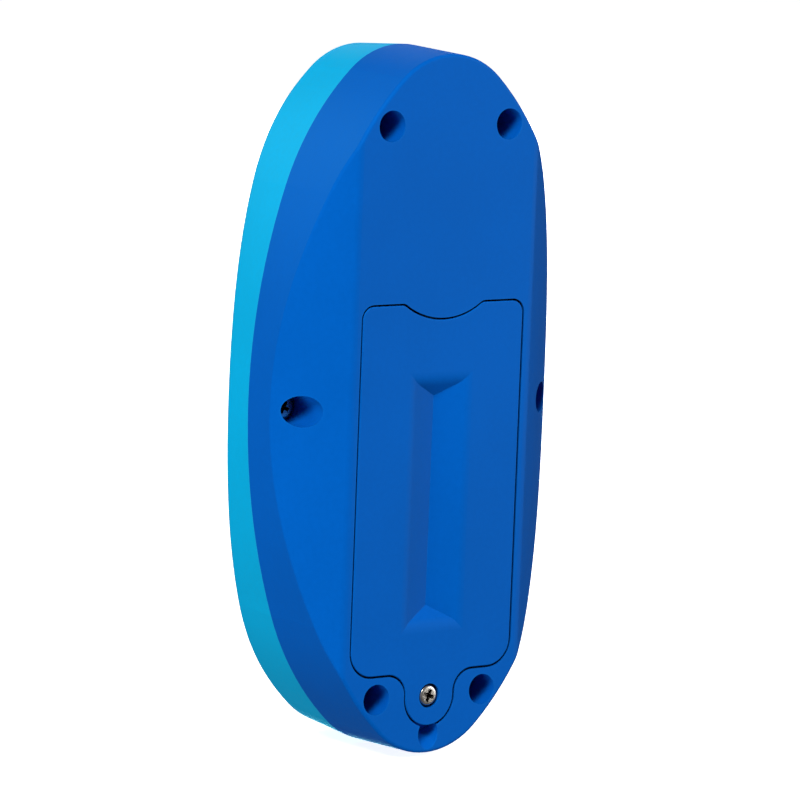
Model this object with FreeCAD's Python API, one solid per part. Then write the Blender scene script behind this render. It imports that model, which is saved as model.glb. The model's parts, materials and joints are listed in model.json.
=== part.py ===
# Handheld electronic learning game with an oval two-part case.
# X runs across the case, to the right as seen from behind. Y runs from the back to the front.
# Z runs up the long axis. The origin is the middle of the case. All sizes are millimetres.
import FreeCAD, Part
import math
import os
from FreeCAD import Vector

# Case outline, seen from the back: arcs that meet tangentially. The side arc's radius follows
# from the angle at which it meets the shoulder arc.
case_half_length = 78.1
case_half_width = 37.5
side_join_deg = 18.93
shoulder_radius = 62.3
end_radius = 19.5

# Case depth, each half measured from the seam between the two shells.
back_depth = 19.7
front_depth = 17.5
wall = 2.0
back_draft = 0.041
front_draft = 0.060

# Cross-section of the back: a flat band with a sloping, rounded face on each side.
slope_width = 13.85
slope_radius = 52.0
slope_start_deg = 30.7
ridge_fillet = 3.0
back_edge_fillet = 0.8

# Cross-section of the front: a flat band that rolls off to the sides.
roll_width = 21.9
crown_radius = 30.7
front_edge_fillet = 1.6

# Lip that locates the two shells on each other.
lip_height = 1.5
lip_thickness = 1.0
lip_clearance = 0.1

# Case screws and the wells that they sit in.
well_radius = 3.45
well_wall = 1.3
well_floor = 2.0
upper_well_x = 15.7
upper_well_from_end = 16.25
lower_well_x = 14.3
lower_well_from_end = 13.95
side_well_z = -0.25
side_well_from_side = 5.3
case_screw_head_radius = 2.6
case_screw_head_height = 1.6
case_screw_radius = 1.3
case_screw_grip = 9.0
case_screw_sink = 13.7
screw_fit = 0.02
shank_clearance = 0.15
boss_radius = 2.9
boss_gap = 0.1

# Battery door.
door_gap = 0.45
door_thickness = 2.0
door_half_width = 21.7
door_length = 82.1
door_corner = 3.0
door_bottom_corner = 6.0
door_edge_round = 0.25
notch_centre_rise = 14.0
notch_radius = 17.5
notch_corner = 1.8
tab_from_end = 13.5
tab_drop = 5.5
tab_radius = 6.65
tab_fillet = 4.8
door_seat_clearance = 0.15
shelf_width = 2.6
shelf_thickness = 2.0

# Groove pressed into the door between the two cells.
groove_half_width = 7.5
groove_length = 54.5
groove_from_bottom = 10.7
groove_depth = 2.8
groove_hip = 3.9
groove_mouth_round = 5.0
groove_web = 1.8

# Lugs that hold the door's top edge.
lug_centre = 16.4
lug_half_width = 2.4
lug_reach = 3.0
lug_root = 1.6
lug_thickness = 1.3
lug_clearance = 0.2
lug_side_room = 0.5

# Captive door screw, its retaining clip and its brass insert.
door_screw_rise = 0.2
door_screw_hole = 2.76
door_screw_head_radius = 2.35
door_screw_head_height = 1.6
door_screw_inset = 0.2
door_screw_radius = 1.45
door_screw_neck = 1.1
door_screw_hole_play = 0.3
door_boss_radius = 4.4
door_boss_height = 1.2
screw_lift = 3.0
clip_radius = 2.5
clip_thickness = 0.5
clip_clearance = 0.2
pocket_wall = 1.4
pocket_room = 0.6
insert_length = 3.6
insert_radius = 2.9
insert_play = 0.4
thread_engagement = 3.0
cross_width = 0.7
cross_length = 2.9
cross_depth = 1.0

# Finger scoop below the door's tab.
scoop_radius = 2.65
scoop_from_end = 5.1
scoop_angle_deg = 49.0
scoop_depth = 2.4
scoop_pad = 5.2

# Cells and their bay.
cell_radius = 7.25
cell_length = 50.5
cell_nub_radius = 2.7
cell_nub_height = 1.3
cell_rim_round = 0.6
cell_spacing = 1.5
cell_door_gap = 0.5
cell_end_play = 0.2
bay_side_room = 1.15
bay_from_bottom = 37.95
bay_wall = 1.5
bay_floor_gap = 0.2
contact_thickness = 0.5
contact_half_width = 6.2
contact_height = 11.0
spring_length = 5.9
spring_wire = 0.35
spring_base_radius = 4.2
spring_tip_radius = 2.4

# Faceplate on the front, and the recess that it sits in.
plate_end_margin = 14.1
plate_side_margin = 13.0
plate_side_radius = 400.0
plate_corner_radius = 14.0
plate_end_radius = 60.0
plate_thickness = 1.2
plate_depth = 1.6
plate_gap = 0.15
floor_thickness = 2.0
pad_margin = 2.0

# Keys.
key_half_width = 5.4
key_half_height = 4.4
key_corner = 2.0
key_hole_gap = 0.3
key_column_gap = 1.7
key_row_gap = 2.2
key_top_row_z = 8.0
key_proud = 1.4
key_round = 0.7
key_flange = 1.0
key_flange_thickness = 0.8
key_flange_gap = 0.3
key_travel = 1.0
key_names = [
    ["key_power", "key_mode", "key_hint"],
    ["key_7", "key_8", "key_9"],
    ["key_4", "key_5", "key_6"],
    ["key_1", "key_2", "key_3"],
    ["key_clear", "key_0", "key_enter"],
]

# Rubber key mat.
dome_gap = 0.4
dome_height = 1.1
dome_radius = 3.2
dome_tip_radius = 2.4
mat_thickness = 0.8
mat_side_margin = 1.1
mat_margin = 2.0

# Display.
window_z = 36.0
window_half_width = 18.5
window_half_height = 12.5
window_corner = 3.0
window_fit = 0.1
window_ledge = 2.0
glass_half_width = 17.8
glass_half_height = 13.4
glass_thickness = 2.2
glass_corner = 0.5
glass_gap = 0.3
frame_rim = 2.6
frame_fit = 0.2
connector_width = 2.0
connector_inset = 2.2

# Circuit board and what is soldered to it.
board_thickness = 1.6
board_inset = 5.0
board_half_width = 28.0
board_above_speaker = 9.5
board_from_plate_top = 8.0
post_spots = [(25.0, 16.0), (25.0, -34.0)]
post_radius = 2.3
board_screw_radius = 0.9
board_screw_head_radius = 2.0
board_screw_head_height = 1.2
board_screw_length = 3.5
chip_half = 6.0
chip_height = 1.6
chip_corner = 1.0
chip_z = 20.0
capacitor_radius = 2.5
capacitor_length = 7.0
crystal_radius = 1.4
crystal_length = 6.0
beside_chip = 12.0

# Speaker.
speaker_from_plate_end = 2.5
speaker_radius = 9.0
speaker_height = 3.2
speaker_magnet_radius = 4.6
speaker_magnet_height = 2.2
speaker_gap = 0.2
speaker_ring_wall = 1.3
gasket_thickness = 0.4
grille_from_plate_end = 7.2
grille_hole_radius = 0.8
grille_ring_step = 2.5
grille_rings = 2

# Wires inside the case.
wire_radius = 0.55
wire_bend = 1.8
wire_drop = 3.8
wire_rise = 5.0
wire_clear = 2.8
speaker_wire_offset = 4.0

# Places across and along the case that follow from the sizes above.
band_half_width = case_half_width - slope_width
crown_half_width = case_half_width - roll_width
plate_half_length = case_half_length - plate_end_margin
plate_half_width = case_half_width - plate_side_margin
well_spots = [
    (upper_well_x, case_half_length - upper_well_from_end),
    (lower_well_x, lower_well_from_end - case_half_length),
    (case_half_width - side_well_from_side, side_well_z),
]
tab_centre = tab_from_end - case_half_length
door_screw_z = tab_centre + door_screw_rise
door_bottom = tab_centre + tab_drop
door_top = door_bottom + door_length
notch_centre = door_top + notch_centre_rise
groove_bottom = door_bottom + groove_from_bottom
groove_top = groove_bottom + groove_length
bay_middle = door_bottom + bay_from_bottom
scoop_z = scoop_from_end - case_half_length
cell_x = cell_radius + cell_spacing / 2
bay_half_width = cell_x + cell_radius + bay_side_room
key_pitch_x = 2 * (key_half_width + key_flange) + key_column_gap
key_pitch_z = 2 * (key_half_height + key_flange) + key_row_gap
mat_half_width = key_pitch_x + key_half_width + mat_side_margin
speaker_z = speaker_from_plate_end - plate_half_length
grille_z = grille_from_plate_end - plate_half_length
board_bottom = speaker_z + board_above_speaker
board_top = plate_half_length - board_from_plate_top

# Places along Y that follow from the sizes above.
seam_y = (back_depth - front_depth) / 2
back_y = seam_y - back_depth
front_y = seam_y + front_depth
door_inner_y = back_y + door_thickness
shelf_y = door_inner_y + door_seat_clearance
cell_y = door_inner_y + cell_door_gap + cell_radius
bay_floor_y = cell_y + cell_radius + bay_floor_gap
plate_top_y = front_y - plate_depth
plate_floor_y = plate_top_y - plate_thickness
floor_inner_y = plate_floor_y - floor_thickness
flange_top_y = floor_inner_y - key_flange_gap
flange_bottom_y = flange_top_y - key_flange_thickness
dome_top_y = flange_bottom_y - key_travel - dome_gap
mat_top_y = dome_top_y - dome_height
board_front_y = mat_top_y - mat_thickness
board_back_y = board_front_y - board_thickness
well_floor_y = back_y + case_screw_sink + case_screw_head_height
boss_tip_y = well_floor_y + well_floor + boss_gap
glass_front_y = floor_inner_y - glass_gap
glass_back_y = glass_front_y - glass_thickness
bay_half_length = (cell_length + spring_length + cell_end_play) / 2 + contact_thickness
bay_top = bay_middle + bay_half_length
bay_bottom = bay_middle - bay_half_length
screw_pocket_radius = tab_radius - pocket_room
door_boss_y = door_inner_y + door_boss_height
clip_y = door_boss_y + screw_lift + clip_clearance
insert_y = clip_y + clip_thickness + clip_clearance
pocket_floor_end = insert_y + insert_length
screw_tip_y = insert_y + thread_engagement
top_contact = bay_top - contact_thickness
low_contact = bay_bottom + contact_thickness
speaker_front = floor_inner_y - gasket_thickness
speaker_back = speaker_front - speaker_height

# Length that runs past the ends of the case, reach of a cut past a surface, and the largest
# difference between two places that count as the same.
far = case_half_length + 12.0
past = 1.0
same = 0.0001


# Outlines are lists of arcs in the XZ plane: centre x, centre z, radius, start and end angle in
# degrees, and +1 for an arc that bulges outwards or -1 for one that bends inwards.
def wire_of(arcs, y, inset=0.0):
    edges = []
    ends = []
    for cx, cz, radius, start, end, bulge in arcs:
        r = radius - inset * bulge
        points = []
        for angle in (start, (start + end) / 2, end):
            a = math.radians(angle)
            points.append(Vector(cx + r * math.cos(a), y, cz + r * math.sin(a)))
        ends.append((points[0], points[2], Part.Arc(*points).toShape()))
    for index, (start, end, arc) in enumerate(ends):
        edges.append(arc)
        following = ends[(index + 1) % len(ends)][0]
        if (following - end).Length > 1e-5:
            edges.append(Part.LineSegment(end, following).toShape())
    return Part.Wire(edges)


def prism(arcs, y0, y1, inset=0.0):
    return Part.Face(wire_of(arcs, y0, inset)).extrude(Vector(0, y1 - y0, 0))


def taper(arcs, y0, inset0, y1, inset1):
    return Part.makeLoft([wire_of(arcs, y0, inset0), wire_of(arcs, y1, inset1)], True, True)


def mirrored(right_half):
    left = []
    for cx, cz, radius, start, end, bulge in reversed(right_half):
        left.append((-cx, cz, radius, 180 - end, 180 - start, bulge))
    return left


# Oval of a side arc, shoulder arcs and end arcs, where each arc is tangent to the next.
def oval(half_length, half_width, side, shoulder, end):
    side_x = half_width - side
    end_z = half_length - end
    from_side = side - shoulder
    from_end = abs(shoulder - end)
    apart = math.hypot(side_x, end_z)
    along = (from_side ** 2 - from_end ** 2 + apart ** 2) / (2 * apart)
    off = math.sqrt(from_side ** 2 - along ** 2)
    ux = -side_x / apart
    uz = end_z / apart
    turn = -1 if shoulder > end else 1
    cx = side_x + along * ux - turn * off * uz
    cz = along * uz + turn * off * ux
    first = math.degrees(math.atan2(cz, cx - side_x))
    if shoulder > end:
        second = math.degrees(math.atan2(end_z - cz, -cx))
    else:
        second = math.degrees(math.atan2(cz - end_z, cx))
    return [
        (side_x, 0, side, -first, first, 1),
        (cx, cz, shoulder, first, second, 1),
        (0, end_z, end, second, 180 - second, 1),
        (-cx, cz, shoulder, 180 - second, 180 - first, 1),
        (-side_x, 0, side, 180 - first, 180 + first, 1),
        (-cx, -cz, shoulder, 180 + first, 180 + second, 1),
        (0, -end_z, end, 180 + second, 360 - second, 1),
        (cx, -cz, shoulder, 360 - second, 360 - first, 1),
    ]


def rounded_box(cx, cz, half_x, half_z, corner):
    x = half_x - corner
    z = half_z - corner
    return [
        (cx + x, cz + z, corner, 0, 90, 1),
        (cx - x, cz + z, corner, 90, 180, 1),
        (cx - x, cz - z, corner, 180, 270, 1),
        (cx + x, cz - z, corner, 270, 360, 1),
    ]


def cylinder(x, z, radius, y0, y1):
    return Part.makeCylinder(radius, y1 - y0, Vector(x, y0, z), Vector(0, 1, 0))


def box(x0, x1, y0, y1, z0, z1):
    return Part.makeBox(x1 - x0, y1 - y0, z1 - z0, Vector(x0, y0, z0))


def both_sides(spots):
    places = []
    for x, z in spots:
        places.append((x, z))
        places.append((-x, z))
    return places


def save(name, shape):
    clean = shape.removeSplitter()
    if not clean.isValid():
        print("not valid:", name)
    clean.exportStep("parts/" + name + ".step")
    print(name, len(clean.Solids), round(clean.Volume, 1))


# Radius of a side arc that meets the shoulder arc at the given angle.
def side_radius(half_length, half_width, join_deg, shoulder, end):
    rise = math.sin(math.radians(join_deg))
    fall = 1 - math.cos(math.radians(join_deg))
    across = half_width - shoulder
    up = half_length - end
    middle = across * fall + up * rise
    share = fall ** 2 + rise ** 2
    rest = across ** 2 + up ** 2 - (shoulder - end) ** 2
    return shoulder + (middle - math.sqrt(middle ** 2 - share * rest)) / share


case_outline = oval(
    case_half_length, case_half_width,
    side_radius(case_half_length, case_half_width, side_join_deg, shoulder_radius, end_radius),
    shoulder_radius, end_radius,
)
plate_outline = oval(
    plate_half_length, plate_half_width, plate_side_radius, plate_corner_radius, plate_end_radius
)


# Door outline: right half from the middle of the notch down to the middle of the tab, clockwise.
def door_outline():
    notch_x = math.sqrt(
        (notch_radius + notch_corner) ** 2 - (notch_centre - door_top + notch_corner) ** 2
    )
    notch_z = door_top - notch_corner
    notch_turn = math.degrees(math.atan2(notch_z - notch_centre, notch_x))
    fillet_z = door_bottom - tab_fillet
    fillet_x = math.sqrt((tab_fillet + tab_radius) ** 2 - (fillet_z - tab_centre) ** 2)
    tab_turn = math.degrees(math.atan2(fillet_z - tab_centre, fillet_x))
    right = [
        (notch_x, notch_z, notch_corner, 180 + notch_turn, 90, 1),
        (door_half_width - door_corner, door_top - door_corner, door_corner, 90, 0, 1),
        (
            door_half_width - door_bottom_corner, door_bottom + door_bottom_corner,
            door_bottom_corner, 0, -90, 1,
        ),
        (fillet_x, fillet_z, tab_fillet, 90, 180 + tab_turn, -1),
    ]
    tab = (0, tab_centre, tab_radius, tab_turn, -180 - tab_turn, 1)
    notch = (0, notch_centre, notch_radius, -180 - notch_turn, notch_turn, -1)
    return right + [tab] + mirrored(right) + [notch]


door_arcs = door_outline()


# Bar along Z whose cross-section is flat out to the start of an arc, follows the arc round, and
# is then straight down to its base. Angles are in radians, away from the flat's own direction.
def domed_bar(cx, cy, radius, first, last, outwards, base_y):
    points = []
    for angle in (first, (first + last) / 2, last):
        points.append(
            Vector(cx + radius * math.sin(angle), cy + outwards * radius * math.cos(angle), -far)
        )
    flipped = [Vector(-p.x, p.y, p.z) for p in points]
    low_right = Vector(points[2].x, base_y, -far)
    low_left = Vector(-points[2].x, base_y, -far)
    edges = [
        Part.LineSegment(flipped[0], points[0]).toShape(),
        Part.Arc(*points).toShape(),
        Part.LineSegment(points[2], low_right).toShape(),
        Part.LineSegment(low_right, low_left).toShape(),
        Part.LineSegment(low_left, flipped[2]).toShape(),
        Part.Arc(flipped[2], flipped[1], flipped[0]).toShape(),
    ]
    return Part.Face(Part.Wire(edges)).extrude(Vector(0, 0, 2 * far))


def back_bar(inset):
    start = math.radians(slope_start_deg)
    cx = band_half_width - slope_radius * math.sin(start)
    cy = back_y + slope_radius * math.cos(start)
    radius = slope_radius - inset
    first = math.acos((cy - back_y - inset) / radius)
    last = math.asin((case_half_width + wall - cx) / radius)
    return domed_bar(cx, cy, radius, first, last, -1, seam_y + wall)


def front_bar(inset):
    radius = crown_radius - inset
    last = math.asin((roll_width + wall) / radius)
    return domed_bar(crown_half_width, front_y - crown_radius, radius, 0, last, 1, seam_y - wall)


# Edges of a half case where its wall turns over onto its back or front.
def rim_edges(shape, walls):
    side = [face for face in walls.Faces if abs(face.normalAt(0, 0).y) < math.cos(math.pi / 4)]
    found = []
    for edge in shape.Edges:
        limits = edge.BoundBox
        near = min(abs(limits.YMin - seam_y), abs(limits.YMax - seam_y))
        if near < wall / 2:
            continue
        middle = Part.Vertex(edge.valueAt((edge.FirstParameter + edge.LastParameter) / 2))
        if min(face.distToShape(middle)[0] for face in side) < 10 * same:
            found.append(edge)
    return found


def ridge_edges(bar):
    found = []
    for edge in bar.Edges:
        limits = edge.BoundBox
        along = limits.ZLength > far
        if along and abs(abs(limits.XMin) - band_half_width) < wall / 2:
            found.append(edge)
    return found


def back_outside():
    walls = taper(case_outline, seam_y, 0.0, back_y, back_draft * back_depth)
    bar = back_bar(0.0)
    bar = bar.makeFillet(ridge_fillet, ridge_edges(bar))
    body = walls.common(bar)
    return body.makeFillet(back_edge_fillet, rim_edges(body, walls))


def back_inside():
    inner_depth = back_depth - wall
    walls = taper(
        case_outline, seam_y, wall, seam_y - inner_depth, wall + back_draft * inner_depth
    )
    return walls.common(back_bar(wall))


def front_outside():
    walls = taper(case_outline, seam_y, 0.0, front_y, front_draft * front_depth)
    body = walls.common(front_bar(0.0))
    return body.makeFillet(front_edge_fillet, rim_edges(body, walls))


def front_inside():
    inner_depth = front_depth - wall
    walls = taper(
        case_outline, seam_y, wall, seam_y + inner_depth, wall + front_draft * inner_depth
    )
    return walls.common(front_bar(wall))


# Wedge with hipped ends on the door's inner or outer face: its base lies at base_y, its ridge at
# ridge_y, and a block carries it on to over_y.
def hipped_wedge(half_width, z0, z1, hip, base_y, ridge_y, over_y):
    base = [(-half_width, z0), (half_width, z0), (half_width, z1), (-half_width, z1)]
    corners = [Vector(x, base_y, z) for x, z in base]
    low = Vector(0, ridge_y, z0 + hip)
    high = Vector(0, ridge_y, z1 - hip)
    faces = [
        [corners[0], corners[1], low],
        [corners[1], corners[2], high, low],
        [corners[2], corners[3], high],
        [corners[3], corners[0], low, high],
        [corners[3], corners[2], corners[1], corners[0]],
    ]
    sheets = []
    for points in faces:
        sheets.append(Part.Face(Part.makePolygon(points + [points[0]])))
    wedge = Part.Solid(Part.Shell(sheets))
    if wedge.Volume < 0:
        wedge.reverse()
    cover = box(-half_width, half_width, min(over_y, base_y), max(over_y, base_y), z0, z1)
    return wedge.fuse(cover)


def tube(points, radius, bend):
    edges = []
    start = points[0]
    for index in range(1, len(points) - 1):
        corner = points[index]
        before = (points[index - 1] - corner).normalize()
        after = (points[index + 1] - corner).normalize()
        half_turn = before.getAngle(after) / 2
        back_off = bend / math.tan(half_turn)
        first = corner + before * back_off
        last = corner + after * back_off
        inward = (before + after).normalize()
        middle = corner + inward * (bend / math.sin(half_turn) - bend)
        edges.append(Part.LineSegment(start, first).toShape())
        edges.append(Part.Arc(first, middle, last).toShape())
        start = last
    edges.append(Part.LineSegment(start, points[-1]).toShape())
    path = Part.Wire(edges)
    direction = (points[1] - points[0]).normalize()
    ring = Part.Wire([Part.makeCircle(radius, points[0], direction)])
    return path.makePipeShell([ring], True, True)


def well_tube(x, z, outside):
    return cylinder(x, z, well_radius + well_wall, back_y, well_floor_y + well_floor).common(outside)


def make_back_shell():
    outside = back_outside()
    shell = outside.cut(back_inside())
    for x, z in both_sides(well_spots):
        shell = shell.fuse(well_tube(x, z, outside))
    shelf_end = shelf_y + shelf_thickness
    shell = shell.fuse(prism(door_arcs, back_y + wall / 2, shelf_end, -shelf_width).common(outside))
    bay = box(
        -bay_half_width - bay_wall, bay_half_width + bay_wall, shelf_y,
        bay_floor_y + bay_wall, bay_bottom - bay_wall, bay_top + bay_wall,
    )
    shell = shell.fuse(bay)
    pocket = cylinder(0, tab_centre, screw_pocket_radius + pocket_wall, shelf_y, pocket_floor_end)
    shell = shell.fuse(pocket.common(outside))
    pad = box(-scoop_radius - wall, scoop_radius + wall, back_y, back_y + scoop_pad, -far, scoop_z + wall)
    shell = shell.fuse(pad.common(outside))
    shell = shell.cut(prism(door_arcs, back_y - past, shelf_y, -door_gap / 2))
    shell = shell.cut(
        box(-bay_half_width, bay_half_width, back_y, bay_floor_y, bay_bottom, bay_top)
    )
    shell = shell.cut(cylinder(0, tab_centre, screw_pocket_radius, shelf_y - past, insert_y))
    shell = shell.cut(cylinder(0, door_screw_z, insert_radius, insert_y - past, pocket_floor_end + past))
    for side in (-1, 1):
        x = side * lug_centre
        reach = lug_half_width + lug_side_room
        low = door_top - lug_reach - lug_side_room
        high = door_top + lug_reach + lug_side_room
        shell = shell.cut(box(x - reach, x + reach, door_inner_y, shelf_end + past, low, high))
    for x, z in both_sides(well_spots):
        shell = shell.cut(cylinder(x, z, well_radius, back_y - past, well_floor_y))
        shank = case_screw_radius + shank_clearance
        shell = shell.cut(cylinder(x, z, shank, well_floor_y - past, well_floor_y + well_floor + past))
    tilt = math.radians(scoop_angle_deg)
    into = Vector(0, math.sin(tilt), math.cos(tilt))
    outer = Vector(0, back_y, scoop_z) - into * scoop_pad
    length = scoop_pad + scoop_depth / math.sin(tilt)
    shell = shell.cut(Part.makeCylinder(scoop_radius, length, outer, into))
    return shell


def make_front_shell():
    outside = front_outside()
    shell = outside.cut(front_inside())
    lip_outer = prism(case_outline, seam_y - lip_height, seam_y + wall, wall + lip_clearance)
    lip_inner = prism(
        case_outline, seam_y - lip_height - past, seam_y + wall + past, wall + lip_clearance + lip_thickness
    )
    shell = shell.fuse(lip_outer.cut(lip_inner))
    ledge = prism(case_outline, seam_y, seam_y + wall, wall / 2)
    shell = shell.fuse(ledge.cut(lip_inner).common(outside))
    pad = prism(plate_outline, floor_inner_y, front_y, -pad_margin)
    shell = shell.fuse(pad.common(outside))
    for x, z in both_sides(well_spots):
        boss = cylinder(x, z, boss_radius, boss_tip_y, front_y).common(
            outside.fuse(cylinder(x, z, boss_radius, boss_tip_y, seam_y + wall))
        )
        shell = shell.fuse(boss)
    for x, z in both_sides(post_spots):
        shell = shell.fuse(cylinder(x, z, post_radius, board_front_y, front_y).common(outside))
    shell = shell.cut(prism(plate_outline, plate_floor_y, front_y + past))
    for x, z in both_sides(well_spots):
        hole = case_screw_radius + screw_fit
        shell = shell.cut(cylinder(x, z, hole, boss_tip_y - past, well_floor_y + case_screw_grip))
    for x, z in both_sides(post_spots):
        hole = board_screw_radius + screw_fit
        shell = shell.cut(cylinder(x, z, hole, board_front_y - past, board_back_y + 2 * board_screw_length))
    for x, z, name in key_places():
        hole = rounded_box(x, z, key_half_width, key_half_height, key_corner)
        shell = shell.cut(prism(hole, floor_inner_y - past, front_y + past, -key_hole_gap))
    shell = shell.cut(prism(window_outline(), floor_inner_y - past, front_y + past, window_ledge))
    for x, z in grille_places():
        shell = shell.cut(cylinder(x, z, grille_hole_radius, floor_inner_y - past, front_y + past))
    return shell


def key_places():
    places = []
    for row, names in enumerate(key_names):
        for column, name in enumerate(names):
            places.append((-(column - 1) * key_pitch_x, key_top_row_z - row * key_pitch_z, name))
    return places


def grille_places():
    places = [(0, grille_z)]
    for ring in range(1, grille_rings + 1):
        count = 6 * ring
        for step in range(count):
            a = 2 * math.pi * step / count
            r = ring * grille_ring_step
            places.append((r * math.sin(a), grille_z + r * math.cos(a)))
    return places


def make_faceplate():
    plate = prism(plate_outline, plate_floor_y, plate_top_y, plate_gap)
    for x, z, name in key_places():
        hole = rounded_box(x, z, key_half_width, key_half_height, key_corner)
        plate = plate.cut(prism(hole, plate_floor_y - past, plate_top_y + past, -key_hole_gap))
    plate = plate.cut(prism(window_outline(), plate_floor_y - past, plate_top_y + past))
    for x, z in grille_places():
        plate = plate.cut(cylinder(x, z, grille_hole_radius, plate_floor_y - past, plate_top_y + past))
    return plate


def top_edges(shape, y):
    return [edge for edge in shape.Edges if abs(edge.BoundBox.YMin - y) + edge.BoundBox.YLength < same]


def make_key(x, z):
    cap = prism(
        rounded_box(x, z, key_half_width, key_half_height, key_corner),
        flange_top_y, plate_top_y + key_proud,
    )
    cap = cap.makeFillet(key_round, top_edges(cap, plate_top_y + key_proud))
    flange = rounded_box(
        x, z, key_half_width + key_flange, key_half_height + key_flange, key_corner
    )
    return cap.fuse(prism(flange, flange_bottom_y, flange_top_y))


def make_door():
    plate = prism(door_arcs, back_y, door_inner_y, door_gap / 2)
    plate = plate.makeFillet(door_edge_round, top_edges(plate, back_y))
    scale = (groove_depth + groove_web - door_thickness) / groove_depth
    under = hipped_wedge(
        groove_half_width * scale, groove_bottom + groove_hip * (1 - scale),
        groove_top - groove_hip * (1 - scale), groove_hip * scale,
        door_inner_y, back_y + groove_depth + groove_web, back_y + door_thickness / 2,
    )
    door = plate.fuse(under)
    groove = hipped_wedge(
        groove_half_width, groove_bottom, groove_top, groove_hip,
        back_y, back_y + groove_depth, back_y - past,
    )
    door = door.cut(groove)
    mouth = []
    for edge in top_edges(door, back_y):
        limits = edge.BoundBox
        inside_x = max(abs(limits.XMin), abs(limits.XMax)) < groove_half_width + door_gap
        inside_z = limits.ZMin > groove_bottom - door_gap and limits.ZMax < groove_top + door_gap
        if inside_x and inside_z:
            mouth.append(edge)
    door = door.makeFillet(groove_mouth_round, mouth)
    door = door.fuse(cylinder(0, door_screw_z, door_boss_radius, back_y + past, door_boss_y))
    for side in (-1, 1):
        x0 = side * lug_centre - lug_half_width
        x1 = side * lug_centre + lug_half_width
        lug_y = door_inner_y + lug_clearance
        root = box(x0, x1, back_y + past, lug_y + lug_thickness, door_top - lug_root, door_top - door_gap)
        tongue = box(x0, x1, lug_y, lug_y + lug_thickness, door_top - past, door_top + lug_reach)
        door = door.fuse(root).fuse(tongue)
    head_floor = back_y + door_screw_inset + door_screw_head_height
    door = door.cut(cylinder(0, door_screw_z, door_screw_hole, back_y - past, head_floor))
    shank = door_screw_radius + door_screw_hole_play
    return door.cut(cylinder(0, door_screw_z, shank, back_y - past, door_boss_y + past))


# Pan head with a cross recess, whose top faces out of the back.
def screw_head(x, z, radius, top, height):
    head = cylinder(x, z, radius, top, top + height)
    head = head.makeFillet(height / 3, top_edges(head, top))
    for length, width in ((cross_length, cross_width), (cross_width, cross_length)):
        head = head.cut(
            box(
                x - length / 2, x + length / 2, top - past, top + cross_depth,
                z - width / 2, z + width / 2,
            )
        )
    return head


def make_door_screw():
    top = back_y + door_screw_inset
    under_head = top + door_screw_head_height
    head = screw_head(0, door_screw_z, door_screw_head_radius, top, door_screw_head_height)
    neck = cylinder(0, door_screw_z, door_screw_neck, under_head, insert_y)
    thread = cylinder(0, door_screw_z, door_screw_radius, insert_y - clip_clearance / 2, screw_tip_y)
    return head.fuse(neck).fuse(thread)


def make_case_screws():
    solids = []
    for x, z in both_sides(well_spots):
        top = well_floor_y - case_screw_head_height
        head = screw_head(x, z, case_screw_head_radius, top, case_screw_head_height)
        shank = cylinder(x, z, case_screw_radius, well_floor_y, well_floor_y + case_screw_grip)
        solids.append(head.fuse(shank))
    return Part.makeCompound(solids)


def make_cell(x, tip_z, up):
    body_length = cell_length - cell_nub_height
    direction = Vector(0, 0, -up)
    can_end = Vector(x, cell_y, tip_z - up * cell_nub_height)
    can = Part.makeCylinder(cell_radius, body_length, can_end, direction)
    rims = [edge for edge in can.Edges if edge.BoundBox.ZLength < same]
    can = can.makeFillet(cell_rim_round, rims)
    nub = Part.makeCylinder(cell_nub_radius, cell_nub_height, Vector(x, cell_y, tip_z), direction)
    return can.fuse(nub)


# A coil spring as a closed conical sleeve of the space that its turns fill.
def make_spring(x, base_z, up):
    base = Vector(x, cell_y, base_z)
    direction = Vector(0, 0, up)
    outer = Part.makeCone(
        spring_base_radius + spring_wire, spring_tip_radius + spring_wire,
        spring_length, base, direction,
    )
    inner = Part.makeCone(
        spring_base_radius - spring_wire, spring_tip_radius - spring_wire,
        spring_length, base, direction,
    )
    return outer.cut(inner)


def make_contact(x0, x1, z0):
    half = contact_height / 2
    return box(x0, x1, cell_y - half, cell_y + half, z0, z0 + contact_thickness)


def make_clip():
    clip = cylinder(0, door_screw_z, clip_radius, clip_y, clip_y + clip_thickness)
    bore = door_screw_neck + screw_fit
    return clip.cut(cylinder(0, door_screw_z, bore, clip_y - past, clip_y + past))


def make_insert():
    insert = cylinder(0, door_screw_z, insert_radius - screw_fit, insert_y, pocket_floor_end)
    bore = door_screw_radius + insert_play
    return insert.cut(cylinder(0, door_screw_z, bore, insert_y - past, pocket_floor_end + past))


def make_mat():
    rows = len(key_names)
    top = key_top_row_z + key_half_height + mat_margin
    bottom = key_top_row_z - (rows - 1) * key_pitch_z - key_half_height - mat_margin
    sheet = rounded_box(0, (top + bottom) / 2, mat_half_width, (top - bottom) / 2, key_corner)
    mat = prism(sheet, board_front_y, mat_top_y)
    for x, z, name in key_places():
        base = Vector(x, mat_top_y, z)
        dome = Part.makeCone(dome_radius, dome_tip_radius, dome_height, base, Vector(0, 1, 0))
        mat = mat.fuse(dome)
    return mat


def window_outline():
    return rounded_box(0, window_z, window_half_width, window_half_height, window_corner)


def glass_outline():
    return rounded_box(0, window_z, glass_half_width, glass_half_height, glass_corner)


def make_display_frame():
    outer = rounded_box(
        0, window_z, glass_half_width + frame_rim, glass_half_height + frame_rim, window_corner
    )
    frame = prism(outer, board_front_y, floor_inner_y)
    return frame.cut(prism(glass_outline(), board_front_y - past, floor_inner_y + past, -frame_fit))


# Elastomer strip that joins the board to one edge of the display glass.
def make_connector(side):
    z = window_z + side * (glass_half_height - connector_inset)
    reach = glass_half_width - connector_inset / 2
    half = connector_width / 2
    return box(-reach, reach, board_front_y, glass_back_y, z - half, z + half)


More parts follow.
